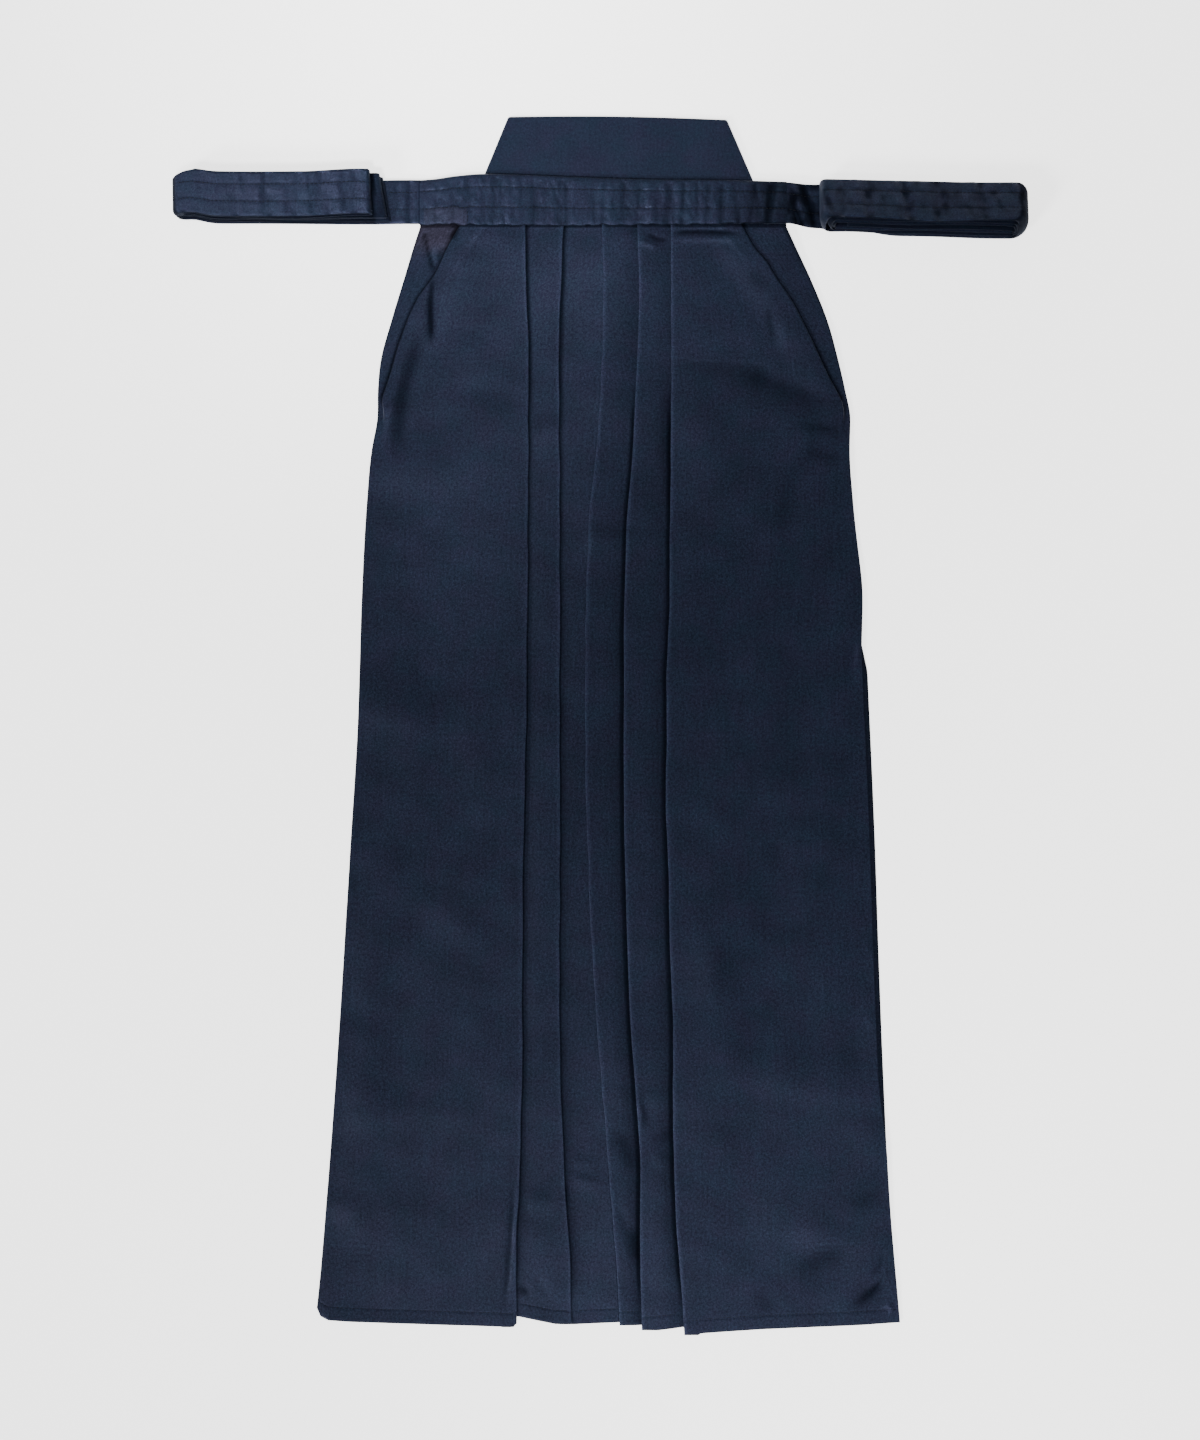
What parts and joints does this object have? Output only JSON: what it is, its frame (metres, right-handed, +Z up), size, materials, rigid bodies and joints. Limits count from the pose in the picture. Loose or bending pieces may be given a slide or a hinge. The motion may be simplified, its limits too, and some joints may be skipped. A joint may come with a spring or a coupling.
{
  "type": "hakama trousers",
  "caption": "Pleated Japanese hakama trousers laid flat front up, with waistband, stiff trapezoid back board and cloth straps folded into flat rolls beside the waist.",
  "frame": {"origin": "bottom centre of the whole garment's bounding box, on the surface it lies on", "axes": "+X towards the wearer's left, +Y from the hem to the waist, +Z up out of the surface, through the back and then the front of the garment"},
  "size_m": [0.7048, 1.009, 0.0308],
  "materials": {
    "twill": "dark navy blue pressed twill, matt with a faint sheen along the pleats",
    "board_cloth": "dark navy blue smooth plain cloth drawn over a stiff board, matt",
    "strap_cloth": "dark navy blue pressed twill, folded and topstitched, matt"
  },
  "bodies": {
    "root": {"front_right_leg": "twill", "front_left_leg": "twill", "back_right_leg": "twill", "back_left_leg": "twill", "gusset": "twill", "koshi_ita": "board_cloth", "waistband": "strap_cloth", "front_strap_right": "strap_cloth", "front_strap_left": "strap_cloth", "back_strap_right": "strap_cloth", "back_strap_left": "strap_cloth"}
  },
  "joints": []
}
